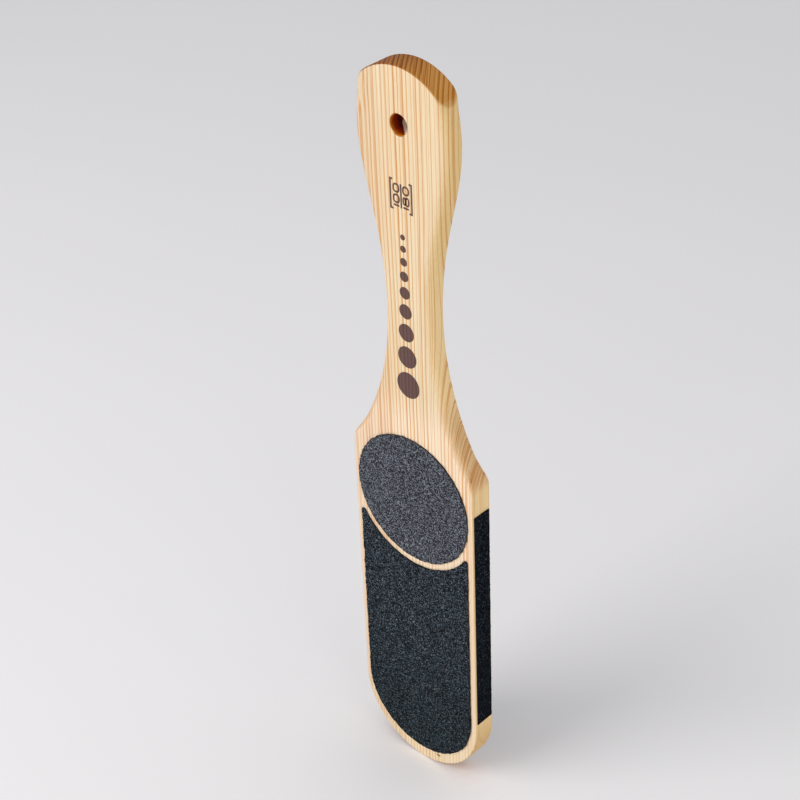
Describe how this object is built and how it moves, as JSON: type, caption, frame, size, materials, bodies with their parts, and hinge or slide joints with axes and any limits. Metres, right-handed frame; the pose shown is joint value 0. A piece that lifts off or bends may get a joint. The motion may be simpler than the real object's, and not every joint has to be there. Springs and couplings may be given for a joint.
{
  "type": "foot file",
  "caption": "Flat wooden foot file: a round-ended blade with glued abrasive disc, panel and edge strips, a narrow neck, and a swelling handle with a hanging hole.",
  "frame": {"origin": "centre of the hanging hole, half way through the board", "axes": "+Z along the file from the blade's tip to the handle's end, +X to the right seen from the front, -Y out of the front face"},
  "size_m": [0.0468, 0.0086, 0.239],
  "materials": {
    "pale_wood": "sanded, unvarnished",
    "glue_film": "tacky film",
    "backing_sheet": "matte",
    "fine_grit": "fine abrasive grain",
    "coarse_grit": "coarse abrasive grain"
  },
  "bodies": {
    "root": {"wood_body": "pale_wood", "front_disc_adhesive": "glue_film", "front_disc_backing": "backing_sheet", "front_disc_grit": "fine_grit", "front_panel_adhesive": "glue_film", "front_panel_backing": "backing_sheet", "front_panel_grit": "coarse_grit", "back_disc_adhesive": "glue_film", "back_disc_backing": "backing_sheet", "back_disc_grit": "fine_grit", "back_panel_adhesive": "glue_film", "back_panel_backing": "backing_sheet", "back_panel_grit": "coarse_grit", "left_strip_adhesive": "glue_film", "left_strip_backing": "backing_sheet", "left_strip_grit": "coarse_grit", "right_strip_adhesive": "glue_film", "right_strip_backing": "backing_sheet", "right_strip_grit": "coarse_grit"}
  },
  "joints": []
}
